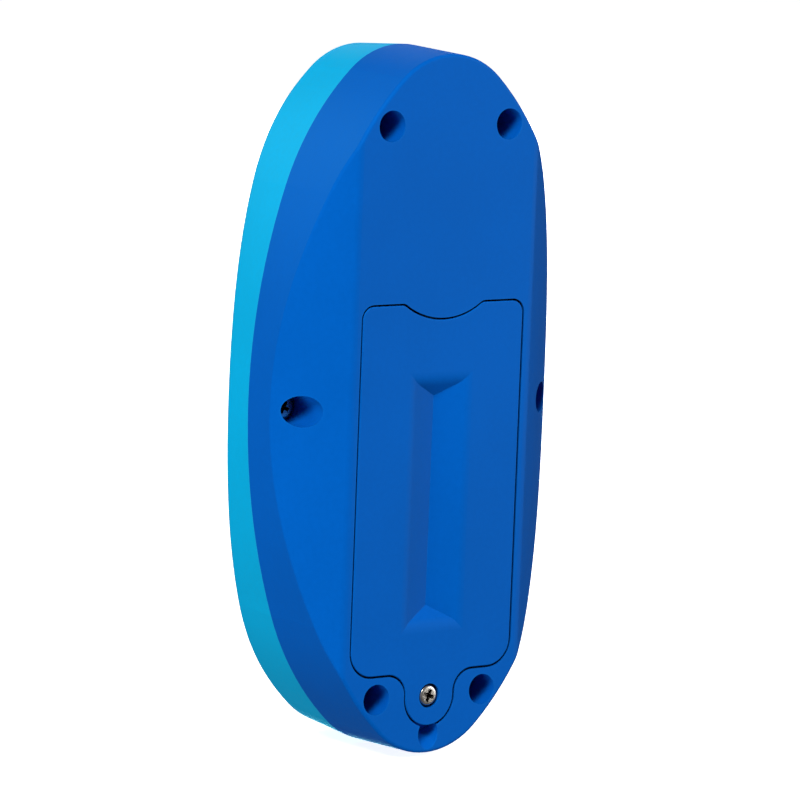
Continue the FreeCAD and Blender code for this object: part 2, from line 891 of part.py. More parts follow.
def make_board():
    board = prism(case_outline, board_back_y, board_front_y, board_inset)
    board = board.common(
        box(-board_half_width, board_half_width, board_back_y, board_front_y, board_bottom, board_top)
    )
    for x, z in both_sides(post_spots):
        hole = board_screw_radius + shank_clearance
        board = board.cut(cylinder(x, z, hole, board_back_y - past, board_front_y + past))
    return board


def make_board_screws():
    solids = []
    top = board_back_y - board_screw_head_height
    for x, z in both_sides(post_spots):
        head = cylinder(x, z, board_screw_head_radius, top, board_back_y)
        shank = cylinder(x, z, board_screw_radius, board_back_y, board_back_y + 2 * board_screw_length)
        solids.append(head.fuse(shank))
    return Part.makeCompound(solids)


# Can or sleeve that lies along Z on the back of the board.
def make_lying_can(x, radius, length):
    return Part.makeCylinder(radius, length, Vector(x, board_back_y - radius, chip_z - length / 2))


def speaker_ringlet(inner, outer, y0, y1):
    ring = cylinder(0, speaker_z, outer, y0, y1)
    return ring.cut(cylinder(0, speaker_z, inner, y0 - past, y1 + past))


def make_battery_wire(x):
    out_of_bay = bay_top + bay_wall
    level = cell_y + wire_drop
    return tube(
        [
            Vector(x, level, out_of_bay),
            Vector(x, level, out_of_bay + wire_rise),
            Vector(x, board_back_y, out_of_bay + wire_rise),
        ],
        wire_radius, wire_bend,
    )


def make_speaker_wire(x):
    start_z = speaker_z + speaker_wire_offset
    end_z = board_bottom + speaker_wire_offset
    low = board_back_y - wire_clear
    return tube(
        [
            Vector(x, speaker_back, start_z),
            Vector(x, low, start_z),
            Vector(x, low, end_z),
            Vector(x, board_back_y, end_z),
        ],
        wire_radius, wire_bend,
    )


os.makedirs("parts", exist_ok=True)

# Case, faceplate and door.
save("back_shell", make_back_shell())
save("front_shell", make_front_shell())
save("faceplate", make_faceplate())
save("battery_door", make_door())
save("door_screw", make_door_screw())
save("screw_clip", make_clip())
save("door_insert", make_insert())
save("case_screws", make_case_screws())

# Cells and their contacts.
save("cell_left", make_cell(-cell_x, top_contact - cell_end_play / 2, 1))
save("cell_right", make_cell(cell_x, low_contact + cell_end_play / 2, -1))
save("spring_left", make_spring(-cell_x, low_contact, 1))
save("spring_right", make_spring(cell_x, top_contact, -1))
contact_reach = cell_x + contact_half_width
contact_gap = cell_x - contact_half_width
save("contact_link", make_contact(-contact_reach, contact_reach, bay_bottom))
save("contact_positive", make_contact(-contact_reach, -contact_gap, top_contact))
save("contact_negative", make_contact(contact_gap, contact_reach, top_contact))

# Keys and display.
for x, z, name in key_places():
    save(name, make_key(x, z))
save("key_mat", make_mat())
save("display_window", prism(window_outline(), plate_floor_y, plate_top_y, window_fit))
save("display_glass", prism(glass_outline(), glass_back_y, glass_front_y))
save("display_frame", make_display_frame())
save("display_connector_upper", make_connector(1))
save("display_connector_lower", make_connector(-1))

# Circuit board and what it carries.
save("circuit_board", make_board())
save("board_screws", make_board_screws())
chip = rounded_box(0, chip_z, chip_half, chip_half, chip_corner)
save("processor", prism(chip, board_back_y - chip_height, board_back_y))
save("capacitor", make_lying_can(beside_chip, capacitor_radius, capacitor_length))
save("crystal", make_lying_can(-beside_chip, crystal_radius, crystal_length))

# Speaker.
hold_radius = speaker_radius + speaker_gap
foam_radius = speaker_radius - speaker_ring_wall
save("speaker_gasket", speaker_ringlet(foam_radius, speaker_radius, speaker_front, floor_inner_y))
save("speaker", cylinder(0, speaker_z, speaker_radius, speaker_back, speaker_front))
magnet_back = speaker_back - speaker_magnet_height
save("speaker_magnet", cylinder(0, speaker_z, speaker_magnet_radius, magnet_back, speaker_back))
ring_radius = hold_radius + speaker_ring_wall
save("speaker_ring", speaker_ringlet(hold_radius, ring_radius, speaker_back, floor_inner_y))

# Wires.
save("wire_red_battery", make_battery_wire(-cell_x))
save("wire_black_battery", make_battery_wire(cell_x))
speaker_wire_x = (speaker_magnet_radius + speaker_radius) / 2
save("wire_red_speaker", make_speaker_wire(-speaker_wire_x))
save("wire_black_speaker", make_speaker_wire(speaker_wire_x))
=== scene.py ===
import json
import math
import bpy
from mathutils import Matrix, Vector


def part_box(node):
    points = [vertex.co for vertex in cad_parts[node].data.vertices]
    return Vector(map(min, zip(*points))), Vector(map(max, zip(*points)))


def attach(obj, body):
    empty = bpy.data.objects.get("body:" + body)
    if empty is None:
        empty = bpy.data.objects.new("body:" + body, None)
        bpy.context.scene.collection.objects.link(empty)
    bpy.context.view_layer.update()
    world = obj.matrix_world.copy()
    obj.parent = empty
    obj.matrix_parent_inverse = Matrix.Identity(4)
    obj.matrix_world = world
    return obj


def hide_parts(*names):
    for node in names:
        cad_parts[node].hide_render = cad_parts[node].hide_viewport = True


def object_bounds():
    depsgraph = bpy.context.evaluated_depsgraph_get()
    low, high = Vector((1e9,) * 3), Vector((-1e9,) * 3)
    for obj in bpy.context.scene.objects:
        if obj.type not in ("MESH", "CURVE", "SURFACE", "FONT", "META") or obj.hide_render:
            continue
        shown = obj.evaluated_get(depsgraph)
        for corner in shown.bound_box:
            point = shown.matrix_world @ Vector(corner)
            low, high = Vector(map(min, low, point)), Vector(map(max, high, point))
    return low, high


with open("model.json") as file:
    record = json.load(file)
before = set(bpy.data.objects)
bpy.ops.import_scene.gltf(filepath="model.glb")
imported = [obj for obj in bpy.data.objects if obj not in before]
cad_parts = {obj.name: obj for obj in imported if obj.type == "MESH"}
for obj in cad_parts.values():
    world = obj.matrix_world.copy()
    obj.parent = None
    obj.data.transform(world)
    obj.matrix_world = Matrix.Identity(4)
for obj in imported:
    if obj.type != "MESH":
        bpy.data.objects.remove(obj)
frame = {"nodes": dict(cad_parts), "record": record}
cadLow, cadHigh = [list(corner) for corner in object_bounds()]
nodes = frame["nodes"]
bpy.context.scene.view_settings.view_transform = "Standard"
print("frame loaded:", len(nodes), "nodes")

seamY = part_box("back_shell")[1][1]
slotOf = {part["node"]: part["material_slot"] for part in frame["record"]["subparts"]}


# A value in a shader, with Python's own operators for its Math nodes.
class Value:
    def __init__(self, shader, socket):
        self.shader = shader
        self.socket = socket

    def maths(self, operation, first, second=0.0):
        node = self.shader.node("ShaderNodeMath", {"operation": operation}, {0: first, 1: second})
        return Value(self.shader, node.outputs[0])

    def __add__(self, other):
        return self.maths("ADD", self, other)

    def __radd__(self, other):
        return self.maths("ADD", other, self)

    def __sub__(self, other):
        return self.maths("SUBTRACT", self, other)

    def __rsub__(self, other):
        return self.maths("SUBTRACT", other, self)

    def __mul__(self, other):
        return self.maths("MULTIPLY", self, other)

    def __truediv__(self, other):
        return self.maths("DIVIDE", self, other)

    def __gt__(self, other):
        return self.maths("GREATER_THAN", self, other)

    def __lt__(self, other):
        return self.maths("LESS_THAN", self, other)

    def wave(self):
        node = self.shader.node("ShaderNodeMath", {"operation": "SINE"}, {0: self})
        return Value(self.shader, node.outputs[0])

    def clamped(self):
        node = self.shader.node("ShaderNodeClamp", {}, {0: self})
        return Value(self.shader, node.outputs[0])

    def smooth(self, low, high):
        settings = {"interpolation_type": "SMOOTHSTEP"}
        node = self.shader.node("ShaderNodeMapRange", settings, {0: self, 1: low, 2: high})
        return Value(self.shader, node.outputs[0])


# One material: a Principled shader and the nodes that feed it.
class Shader:
    def __init__(self, name, constants):
        self.material = bpy.data.materials.new(name)
        self.material.use_nodes = True
        self.tree = self.material.node_tree
        self.surface = self.tree.nodes["Principled BSDF"]
        for socket, value in constants.items():
            self.surface.inputs[socket].default_value = value
        coordinates = self.node("ShaderNodeTexCoord", {}, {})
        self.place = Value(self, coordinates.outputs["Object"])

    def node(self, kind, settings, inputs):
        made = self.tree.nodes.new(kind)
        for key, value in settings.items():
            if key == "stops":
                while len(made.color_ramp.elements) < len(value):
                    made.color_ramp.elements.new(0.5)
                for element, (position, colour) in zip(made.color_ramp.elements, value):
                    element.position = position
                    element.color = colour
            else:
                setattr(made, key, value)
        for key, value in inputs.items():
            if isinstance(value, Value):
                self.tree.links.new(value.socket, made.inputs[key])
            else:
                made.inputs[key].default_value = value
        return made

    def noise(self, scale, detail=2.0, roughness=0.5, place=None):
        inputs = {"Vector": place or self.place, "Scale": scale, "Detail": detail, "Roughness": roughness}
        return Value(self, self.node("ShaderNodeTexNoise", {}, inputs).outputs[0])

    def stretched(self, scale, turn=(0.0, 0.0, 0.0)):
        inputs = {"Vector": self.place, "Scale": scale, "Rotation": turn}
        return Value(self, self.node("ShaderNodeMapping", {}, inputs).outputs[0])

    def along(self, axis):
        node = self.node("ShaderNodeSeparateXYZ", {}, {0: self.place})
        return Value(self, node.outputs[axis])

    def blend(self, amount, first, second, mode="MIX"):
        inputs = {0: amount, 6: first, 7: second}
        made = self.node("ShaderNodeMix", {"data_type": "RGBA", "blend_type": mode}, inputs)
        return Value(self, made.outputs[2])

    def bump(self, height, distance, strength=1.0):
        inputs = {"Height": height, "Distance": distance, "Strength": strength}
        return Value(self, self.node("ShaderNodeBump", {}, inputs).outputs[0])

    def edge(self, radius):
        soft = self.node("ShaderNodeBevel", {"samples": 4}, {"Radius": radius})
        hard = self.node("ShaderNodeNewGeometry", {}, {})
        dots = {0: Value(self, soft.outputs[0]), 1: Value(self, hard.outputs["Normal"])}
        made = self.node("ShaderNodeVectorMath", {"operation": "DOT_PRODUCT"}, dots)
        return (1.0 - Value(self, made.outputs["Value"])).smooth(0.0, 0.12)

    # How open a spot is: 1 out in the open, towards 0 down in a recess.
    def openness(self, reach, alone=True):
        settings = {"samples": 8, "only_local": alone}
        made = self.node("ShaderNodeAmbientOcclusion", settings, {"Distance": reach})
        return Value(self, made.outputs["AO"])

    def feed(self, socket, value):
        self.tree.links.new(value.socket, self.surface.inputs[socket])


def shade(colour, factor, alpha=1.0):
    return tuple(min(channel * factor, 1.0) for channel in colour) + (alpha,)


# Moulded plastic: spark-eroded grain, a little unevenness in colour and polish, and edges rubbed
# slightly lighter and smoother by handling; where it is asked for, painted shade darkens the gaps.
def mouldedPlastic(name, look):
    shader = Shader(name, {
        "Specular IOR Level": look["specular"],
        "Specular Tint": look["specularTint"] + (1.0,),
        "Coat Roughness": 0.25,
    })
    colour = look["colour"]
    cloud = shader.noise(look["cloudScale"], 3.0)
    speck = shader.noise(look["grainScale"] * 0.35, 2.0)
    hairline = shader.noise(1.0, 2.0, 0.5, shader.stretched(look["scuffStretch"], look["scuffTurn"]))
    scuffed = hairline.smooth(0.66, 0.74) * shader.noise(60.0, 2.0).smooth(0.5, 0.75)
    worn = shader.edge(look["wearWidth"]) * (0.4 + shader.noise(180.0, 3.0))
    tone = shader.blend((cloud * 0.7 + speck * 0.3).smooth(0.3, 0.7),
                        shade(colour, 1.0 - look["variation"]), shade(colour, 1.0 + look["variation"]))
    tone = shader.blend((worn * look["wear"]).clamped(), tone, look["wornColour"] + (1.0,))
    tone = shader.blend((scuffed * look["scuff"]).clamped(), tone, look["wornColour"] + (1.0,))
    # Painted shade: the narrow gaps between parts, where shade falls, are darkened towards near black.
    if look["gapDust"]:
        gap = 1.0 - shader.openness(look["gapShadeReach"], alone=False).smooth(0.12, 0.5)
        tone = shader.blend((gap * look["gapDust"]).clamped(), tone, shade(colour, 0.05))
    shader.feed("Base Color", tone)
    polish = look["roughness"] + (cloud - 0.5) * 0.12 + (speck - 0.5) * 0.1 - worn * 0.06 + scuffed * 0.08
    shader.feed("Roughness", polish.clamped())
    grain = shader.noise(look["grainScale"], 3.0, 0.6)
    height = grain * look["grainHeight"] + cloud * look["warpHeight"] - scuffed * 0.000004
    shader.feed("Normal", shader.bump(height, 1.0, look["bumpStrength"]))
    return shader.material


plasticLook = {
    "colour": (0.0004, 0.108, 0.50), "roughness": 0.5, "specular": 0.14,
    "specularTint": (0.05, 0.5, 1.0), "variation": 0.05, "cloudScale": 28.0,
    "grainScale": 2600.0, "grainHeight": 0.00002, "warpHeight": 0.00001, "bumpStrength": 0.6,
    "scuffStretch": (700.0, 700.0, 60.0), "scuffTurn": (0.3, 0.2, 0.5), "scuff": 0.05,
    "wearWidth": 0.0006, "wear": 0.18, "wornColour": (0.01, 0.20, 0.66),
    "gapDust": 0.0, "gapShadeReach": 0.0014,
}


def variant(**changes):
    look = dict(plasticLook)
    look.update(changes)
    return look


# Metal parts: nickel over steel, with turning marks, dulling and painted shade darkening the hollows.
def platedMetal(name, look):
    shader = Shader(name, {"Specular IOR Level": 0.5})
    haze = shader.noise(look["hazeScale"], 4.0, 0.6)
    lines = shader.noise(1.0, 3.0, 0.6, shader.stretched(look["lineStretch"]))
    tone = shader.blend(haze.smooth(0.35, 0.7), look["colour"] + (1.0,), look["dull"] + (1.0,))
    # Painted shade: recesses such as the screw's cross are darkened towards near black.
    hollow = 1.0 - shader.openness(look["hollowShadeReach"]).smooth(look["hollowShadeFull"], look["hollowShadeNone"])
    tone = shader.blend((hollow * look["hollowShade"]).clamped(), tone, look["hollowShadeColour"] + (1.0,))
    shader.feed("Base Color", tone)
    shader.feed("Metallic", (look["metal"] + (haze - 0.5) * 0.1).clamped())
    shader.feed("Roughness", (look["roughness"] + (haze - 0.5) * 0.3 + (lines - 0.5) * 0.12).clamped())
    shader.feed("Normal", shader.bump(lines * look["lineHeight"] + haze * look["lineHeight"], 1.0, 0.5))
    return shader.material


metalLook = {
    "colour": (0.80, 0.76, 0.69), "dull": (0.50, 0.46, 0.40), "metal": 0.95, "roughness": 0.26,
    "hazeScale": 900.0, "lineStretch": (400.0, 4000.0, 400.0), "lineHeight": 0.00001,
    "hollowShade": 1.0, "hollowShadeReach": 0.0012, "hollowShadeFull": 0.45, "hollowShadeNone": 0.85,
    "hollowShadeColour": (0.035, 0.022, 0.012),
}


def metalVariant(**changes):
    look = dict(metalLook)
    look.update(changes)
    return look


def paint(material, *names):
    for name in names:
        for slot in nodes[name].material_slots:
            slot.material = material


caseBlue = mouldedPlastic("caseBlue", variant(gapDust=1.0))
caseLight = mouldedPlastic("caseLight", variant(
    colour=(0.0006, 0.43, 0.78), specularTint=(0.3, 0.8, 1.0), wornColour=(0.08, 0.55, 0.85)))
faceWhite = mouldedPlastic("faceWhite", variant(
    colour=(0.80, 0.82, 0.84), specularTint=(1.0, 1.0, 1.0), specular=0.5, roughness=0.32,
    variation=0.015, grainHeight=0.000003, wornColour=(0.7, 0.7, 0.68), wear=0.1))
keyBlue = mouldedPlastic("keyBlue", variant(
    colour=(0.012, 0.06, 0.27), specularTint=(1.0, 1.0, 1.0), specular=0.45, roughness=0.4,
    grainHeight=0.000006, wornColour=(0.05, 0.14, 0.42)))
keyOrange = mouldedPlastic("keyOrange", variant(
    colour=(0.83, 0.24, 0.02), specularTint=(1.0, 1.0, 1.0), specular=0.45, roughness=0.4,
    grainHeight=0.000006, wornColour=(0.9, 0.42, 0.12)))
blackPlastic = mouldedPlastic("blackPlastic", variant(
    colour=(0.018, 0.018, 0.02), specularTint=(1.0, 1.0, 1.0), wornColour=(0.08, 0.08, 0.08)))
greyRubber = mouldedPlastic("greyRubber", variant(
    colour=(0.30, 0.31, 0.32), specularTint=(1.0, 1.0, 1.0), specular=0.3, roughness=0.7,
    wornColour=(0.4, 0.4, 0.4)))
nickel = platedMetal("nickel", metalLook)
brass = platedMetal("brass", metalVariant(colour=(0.70, 0.48, 0.18), dull=(0.42, 0.27, 0.10)))
bright = platedMetal("bright", metalVariant(colour=(0.72, 0.71, 0.68), dull=(0.5, 0.49, 0.46)))


# Clear moulded window: transparent, with faint hairlines and a soft haze of fingerprints.
def makeClear():
    shader = Shader("clearWindow", {
        "Base Color": (0.92, 0.96, 0.97, 1.0), "Transmission Weight": 1.0, "IOR": 1.49,
        "Specular IOR Level": 0.5,
    })
    smear = shader.noise(90.0, 3.0)
    lines = shader.noise(1.0, 2.0, 0.5, shader.stretched((900.0, 900.0, 50.0), (0.2, 0.1, 0.7)))
    shader.feed("Roughness", 0.03 + smear.smooth(0.5, 0.8) * 0.08 + lines.smooth(0.7, 0.75) * 0.1)
    shader.feed("Normal", shader.bump(smear, 0.00001, 0.3))
    return shader.material


cellLook = {
    "dark": (0.016, 0.017, 0.02, 1.0), "gold": (0.62, 0.30, 0.07, 1.0), "steel": (0.62, 0.61, 0.58, 1.0),
    "rubbed": (0.3, 0.3, 0.3, 1.0), "bandStart": (0.7, 0.702), "stripe": (0.672, 0.684),
    "bareBelow": 0.012, "bareAbove": 0.962, "cloudScale": 35.0, "grainScale": 500.0,
}


# Printed steel sleeve of a cell: a coloured band at the nub end, dark below, a thin ring between.
def makeCellSleeve(name, node, nubUp, look):
    low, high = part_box(node)
    length = high[2] - low[2]
    shader = Shader(name, {"Specular IOR Level": 0.6, "Coat Roughness": 0.1})
    height = (shader.along(2) - low[2]) / length
    share = height if nubUp else 1.0 - height
    cloud = shader.noise(look["cloudScale"], 3.0)
    band = share.smooth(*look["bandStart"])
    tone = shader.blend(band, look["dark"], look["gold"])
    stripe = (share > look["stripe"][0]) * (share < look["stripe"][1])
    tone = shader.blend(stripe, tone, look["steel"])
    bare = (share > look["bareAbove"]) + (share < look["bareBelow"])
    tone = shader.blend(bare.clamped(), tone, look["steel"])
    tone = shader.blend(cloud.smooth(0.35, 0.75) * 0.12, tone, look["rubbed"])
    shader.feed("Base Color", tone)
    shader.feed("Metallic", (band * 0.55 + bare * 0.9).clamped())
    shader.feed("Roughness", 0.24 + (cloud - 0.5) * 0.12)
    shader.feed("Normal", shader.bump(shader.noise(look["grainScale"], 2.0), 0.000005, 0.3))
    return shader.material


panelLook = {
    "green": (0.30, 0.345, 0.27, 1.0), "paleGreen": (0.36, 0.40, 0.315, 1.0),
    "line": (0.2, 0.24, 0.19, 1.0), "lineScale": 1600.0, "lineShare": 0.08, "cloudScale": 40.0,
}


# Display panel: grey-green mirror finish with fine upright electrode lines.
def makePanel(look):
    shader = Shader("displayPanel", {"Specular IOR Level": 0.6, "Coat Weight": 0.6, "Coat Roughness": 0.05})
    cloud = shader.noise(look["cloudScale"], 3.0)
    lines = (shader.along(0) * look["lineScale"]).wave()
    tone = shader.blend(cloud, look["green"], look["paleGreen"])
    tone = shader.blend((lines * 0.5 + 0.5) * look["lineShare"], tone, look["line"])
    shader.feed("Base Color", tone)
    shader.feed("Roughness", 0.3 + (cloud - 0.5) * 0.1)
    return shader.material


boardLook = {
    "mask": (0.008, 0.12, 0.04, 1.0), "paleMask": (0.012, 0.16, 0.055, 1.0),
    "copper": (0.03, 0.26, 0.09, 1.0), "tin": (0.62, 0.6, 0.55, 1.0),
    "trackScale": 420.0, "trackFrom": 0.35, "padScale": 260.0, "padSize": 0.16,
}


# Circuit board: solder mask over copper tracks, with bare tinned pads.
def makeBoardFinish(look):
    shader = Shader("boardFinish", {"Specular IOR Level": 0.5})
    track = (shader.along(0) * look["trackScale"]).wave()
    cross = (shader.along(2) * look["trackScale"]).wave()
    grid = {"Vector": shader.place, "Scale": look["padScale"]}
    places = shader.node("ShaderNodeTexVoronoi", {"feature": "F1", "distance": "CHEBYCHEV"}, grid)
    cell = Value(shader, places.outputs["Distance"])
    patch = shader.noise(55.0, 1.0)
    copper = (track > look["trackFrom"]) * (patch > 0.5) + (cross > look["trackFrom"]) * (patch < 0.47)
    pads = (cell < look["padSize"]) * (shader.noise(120.0, 1.0) > 0.52)
    mask = shader.noise(60.0, 3.0)
    tone = shader.blend(mask, look["mask"], look["paleMask"])
    tone = shader.blend(copper.clamped() * 0.8, tone, look["copper"])
    tone = shader.blend(pads, tone, look["tin"])
    shader.feed("Base Color", tone)
    shader.feed("Metallic", pads * 0.9)
    shader.feed("Roughness", 0.34 + (mask - 0.5) * 0.12 - pads * 0.08)
    shader.feed("Normal", shader.bump(copper * 0.6 + pads, 0.00003, 0.5))
    return shader.material


clearWindow = makeClear()
displayPanel = makePanel(panelLook)
boardFinish = makeBoardFinish(boardLook)
sleeveLeft = makeCellSleeve("cellSleeveLeft", "cell_left", True, cellLook)
sleeveRight = makeCellSleeve("cellSleeveRight", "cell_right", False, cellLook)
wireRed = mouldedPlastic("wireRed", variant(
    colour=(0.42, 0.012, 0.01), specularTint=(1.0, 1.0, 1.0), specular=0.5, roughness=0.38,
    wornColour=(0.55, 0.08, 0.06)))
coneFilm = mouldedPlastic("coneFilm", variant(
    colour=(0.50, 0.49, 0.44), specularTint=(1.0, 1.0, 1.0), specular=0.5, roughness=0.3,
    wornColour=(0.6, 0.6, 0.55)))
foam = mouldedPlastic("foam", variant(
    colour=(0.02, 0.02, 0.021), specularTint=(1.0, 1.0, 1.0), specular=0.1, roughness=0.9,
    grainScale=1500.0, grainHeight=0.0001, wornColour=(0.05, 0.05, 0.05)))

paint(caseBlue, "back_shell", "battery_door")
paint(caseLight, "front_shell", "speaker_ring")
paint(faceWhite, "faceplate")
numberKeys = ["key_" + str(digit) for digit in range(10)]
functionKeys = ["key_power", "key_mode", "key_hint", "key_clear", "key_enter"]
paint(keyBlue, *numberKeys)
paint(keyOrange, *functionKeys)
paint(blackPlastic, "display_frame", "processor", "capacitor", "wire_black_battery", "wire_black_speaker")
paint(wireRed, "wire_red_battery", "wire_red_speaker")
paint(greyRubber, "key_mat", "display_connector_upper", "display_connector_lower")
paint(boardFinish, "circuit_board")
paint(clearWindow, "display_window")
paint(displayPanel, "display_glass")
paint(nickel, "case_screws", "door_screw", "board_screws", "screw_clip")
paint(brass, "door_insert")
paint(bright, "spring_left", "spring_right", "contact_link", "contact_positive", "contact_negative",
      "crystal", "speaker_magnet")
paint(coneFilm, "speaker")
paint(foam, "speaker_gasket")
paint(sleeveLeft, "cell_left")
paint(sleeveRight, "cell_right")
print("materials done")


# Starts a piece from nothing selected, and hands back the new primitive under its own name.
def begin(name, operator, **settings):
    bpy.ops.object.select_all(action="DESELECT")
    operator(**settings)
    piece = bpy.context.object
    piece.name = name
    piece.data.name = name
    return piece


def alone(piece):
    bpy.ops.object.select_all(action="DESELECT")
    bpy.context.view_layer.objects.active = piece
    piece.select_set(True)


# Opens a piece for editing with only the chosen kind of element selected.
def choose(piece, kind, wanted):
    alone(piece)
    bpy.ops.object.mode_set(mode="EDIT")
    bpy.ops.mesh.select_mode(type=kind)
    bpy.ops.mesh.select_all(action="DESELECT")
    bpy.ops.object.mode_set(mode="OBJECT")
    mesh = piece.data
    elements = {"VERT": mesh.vertices, "EDGE": mesh.edges, "FACE": mesh.polygons}[kind]
    for element in elements:
        element.select = bool(wanted(element))
    bpy.ops.object.mode_set(mode="EDIT")


def close():
    bpy.ops.object.mode_set(mode="OBJECT")


def applyAll(piece):
    alone(piece)
    for modifier in list(piece.modifiers):
        bpy.ops.object.modifier_apply(modifier=modifier.name)


def settle(piece):
    alone(piece)
    bpy.ops.object.transform_apply(location=True, rotation=True, scale=True)


def dress(piece, material, body, slot, *replaced):
    piece.data.materials.clear()
    piece.data.materials.append(material)
    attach(piece, body)
    if replaced:
        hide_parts(*replaced)


def join(name, pieces):
    bpy.ops.object.select_all(action="DESELECT")
    for piece in pieces:
        piece.select_set(True)
    bpy.context.view_layer.objects.active = pieces[0]
    bpy.ops.object.join()
    whole = bpy.context.object
    whole.name = name
    return whole


def cut(piece, tool):
    boolean = piece.modifiers.new("cut", "BOOLEAN")
    boolean.operation = "DIFFERENCE"
    boolean.solver = "EXACT"
    boolean.object = tool
    applyAll(piece)
    bpy.data.objects.remove(tool)


screwSettings = {
    "headRadius": 0.00235, "headHeight": 0.0015, "crown": 0.0007, "crownSteps": 7,
    "armLength": 0.0039, "armWidth": 0.00112, "recessDepth": 0.0013, "taper": 0.5,
    "heartShare": 1.25, "heartTip": 0.0001, "threadPitch": 0.0007, "threadDepth": 0.00022,
    "shankRadius": 0.00145, "neckRadius": 0.0011, "turn": 0.35,
}


# A cross-recess pan head with a ringed shank, head up at the origin.
def makeScrew(name, settings, neckLength, length):
    radius, height = settings["headRadius"], settings["headHeight"]
    shankRadius, neckRadius = settings["shankRadius"], settings["neckRadius"]
    screw = begin(name, bpy.ops.mesh.primitive_cylinder_add, vertices=72, radius=radius,
                  depth=height, location=(0.0, 0.0, -height / 2))
    settle(screw)
    choose(screw, "FACE", lambda face: face.normal.z > 0.9)
    bpy.ops.mesh.bevel(offset=settings["crown"], segments=settings["crownSteps"], affect="EDGES")
    close()
    choose(screw, "FACE", lambda face: face.normal.z < -0.9)
    bpy.ops.mesh.inset(thickness=radius - neckRadius)
    bpy.ops.mesh.extrude_region_move(TRANSFORM_OT_translate={"value": (0.0, 0.0, -neckLength)})
    widen = shankRadius / neckRadius
    root = (shankRadius - settings["threadDepth"]) / shankRadius
    pitch = settings["threadPitch"]
    turns = int((length - neckLength) / pitch)
    for turn in range(turns):
        size = widen if turn == 0 else 1.0 / root
        bpy.ops.mesh.extrude_region_move(TRANSFORM_OT_translate={"value": (0.0, 0.0, -pitch * 0.5)})
        bpy.ops.transform.resize(value=(size, size, 1.0))
        bpy.ops.mesh.extrude_region_move(TRANSFORM_OT_translate={"value": (0.0, 0.0, -pitch * 0.5)})
        bpy.ops.transform.resize(value=(root, root, 1.0))
    close()
    for turn in (0.0, math.pi / 2):
        arm = begin("arm", bpy.ops.mesh.primitive_cube_add, size=1.0)
        arm.scale = (settings["armLength"], settings["armWidth"], settings["recessDepth"] * 2)
        arm.rotation_euler = (0.0, 0.0, turn)
        settle(arm)
        choose(arm, "FACE", lambda face: face.normal.z < -0.9)
        shrink = settings["taper"]
        bpy.ops.transform.resize(value=(shrink, shrink, 1.0))
        close()
        cut(screw, arm)
    heart = begin("heart", bpy.ops.mesh.primitive_cone_add, vertices=8, radius1=settings["heartTip"],
                  radius2=settings["armWidth"] * settings["heartShare"], depth=settings["recessDepth"] * 2)
    settle(heart)
    cut(screw, heart)
    alone(screw)
    bpy.ops.object.shade_smooth_by_angle(angle=math.radians(35.0))
    return screw


# Turns a screw to face out of the back, at the head of the CAD screw it stands for.
def seatScrew(screw, x, topY, z, turn):
    screw.rotation_euler = (math.pi / 2, turn, 0.0)
    screw.location = (x, topY, z)
    settle(screw)
    return screw


def makeDoorScrew():
    low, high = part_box("door_screw")
    length = high[1] - low[1] - screwSettings["headHeight"]
    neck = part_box("door_insert")[0][1] - low[1] - screwSettings["headHeight"]
    screw = makeScrew("doorScrew", screwSettings, neck, length)
    seatScrew(screw, (low[0] + high[0]) / 2, low[1], (low[2] + high[2]) / 2, screwSettings["turn"])
    dress(screw, nickel, "door_screw", "screw_steel", "door_screw")


caseScrewSettings = dict(screwSettings, headRadius=0.0026, shankRadius=0.0013, neckRadius=0.0012)
caseScrewSettings.update({"neckLength": 0.0004, "turns": [0.5, -0.2, 0.9, 0.1, -0.6, 0.35]})


def makeCaseScrews(settings, spots):
    low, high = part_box("case_screws")
    length = high[1] - low[1] - settings["headHeight"]
    pattern = makeScrew("caseScrews", settings, settings["neckLength"], length)
    screws = []
    for spot, turn in zip(spots, settings["turns"]):
        copy = pattern.copy()
        copy.data = pattern.data.copy()
        bpy.context.scene.collection.objects.link(copy)
        screws.append(seatScrew(copy, spot[0], low[1], spot[1], turn))
    bpy.data.objects.remove(pattern)
    dress(join("caseScrews", screws), nickel, "root", "screw_steel", "case_screws")


spotSettings = {"topDepth": 0.0002, "spread": 0.006}


# The middles of the case screws, from the separate solids of their CAD node.
def screwSpots(node, settings):
    mesh = nodes[node].data
    top = min(vertex.co.y for vertex in mesh.vertices)
    spots = []
    for vertex in mesh.vertices:
        if vertex.co.y > top + settings["topDepth"]:
            continue
        for spot in spots:
            away = math.hypot(spot[0][0] - vertex.co.x, spot[0][2] - vertex.co.z)
            if away < settings["spread"]:
                spot.append(vertex.co.copy())
                break
        else:
            spots.append([vertex.co.copy()])
    middles = []
    for spot in spots:
        xs = [point[0] for point in spot]
        zs = [point[2] for point in spot]
        middles.append(((min(xs) + max(xs)) / 2, (min(zs) + max(zs)) / 2))
    return sorted(middles)


wellSpots = screwSpots("case_screws", spotSettings)
makeDoorScrew()
makeCaseScrews(caseScrewSettings, wellSpots)
print("screws done:", len(wellSpots), "in the case")

springSettings = {"wire": 0.00035, "turns": 5.0, "steps": 28, "sides": 10, "tipShare": 0.58}


